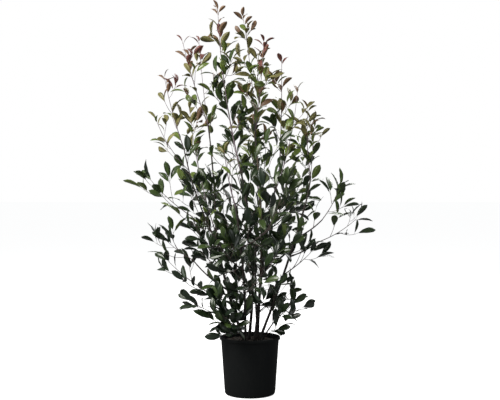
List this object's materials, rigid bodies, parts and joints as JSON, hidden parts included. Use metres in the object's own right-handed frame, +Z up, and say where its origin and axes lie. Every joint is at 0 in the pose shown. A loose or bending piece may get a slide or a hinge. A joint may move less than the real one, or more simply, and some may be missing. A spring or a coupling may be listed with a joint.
{
  "type": "potted photinia shrub",
  "caption": "Upright evergreen photinia shrub with bronze-red young tips, several stems from one root clump, in a plain black round nursery pot.",
  "frame": {"origin": "centre of the pot's flat underside", "axes": "+Z up along the stems, -Y towards the viewer of the picture, +X to the viewer's right"},
  "size_m": [1.1654, 1.0783, 1.8306],
  "materials": {
    "pot_plastic": "satin",
    "compost": "matte",
    "bark": "matte",
    "green_leaves": "satin",
    "young_leaves": "satin"
  },
  "bodies": {
    "root": {"bough_back_left": "bark", "bough_back_right": "bark", "bough_front_left": "bark", "bough_front_right": "bark", "bough_left_low": "bark", "bough_left_outer": "bark", "bough_left_reach": "bark", "bough_left_upper": "bark", "bough_right_outer": "bark", "bough_right_reach": "bark", "bough_right_upper": "bark", "bough_top": "bark", "compost": "compost", "pot": "pot_plastic", "shoot_back": "young_leaves", "shoot_front": "young_leaves", "shoot_left_back": "young_leaves", "shoot_left_far": "young_leaves", "shoot_left_inner": "young_leaves", "shoot_left_outer": "young_leaves", "shoot_left_tall": "young_leaves", "shoot_right_far": "young_leaves", "shoot_right_inner": "young_leaves", "shoot_right_outer": "young_leaves", "shoot_right_tall": "young_leaves", "shoot_top_left": "young_leaves", "shoot_top_middle": "young_leaves", "shoot_top_right": "young_leaves", "spray_back_left": "green_leaves", "spray_back_low": "green_leaves", "spray_back_right": "green_leaves", "spray_front_left": "green_leaves", "spray_front_low": "green_leaves", "spray_front_right": "green_leaves", "spray_left_foot": "green_leaves", "spray_left_low": "green_leaves", "spray_left_lowest": "green_leaves", "spray_left_middle": "green_leaves", "spray_left_reach": "green_leaves", "spray_low_centre": "green_leaves", "spray_low_left": "green_leaves", "spray_low_middle": "green_leaves", "spray_low_right": "green_leaves", "spray_middle_back": "green_leaves", "spray_middle_front": "green_leaves", "spray_middle_left": "green_leaves", "spray_middle_low": "green_leaves", "spray_middle_right": "green_leaves", "spray_right_foot": "green_leaves", "spray_right_low": "green_leaves", "spray_right_outer": "green_leaves", "spray_right_reach": "green_leaves", "stem_back": "bark", "stem_centre": "bark", "stem_front": "bark", "stem_left": "bark", "stem_low_right": "bark", "stem_mid_left": "bark", "stem_mid_right": "bark", "stem_right": "bark"}
  },
  "joints": []
}
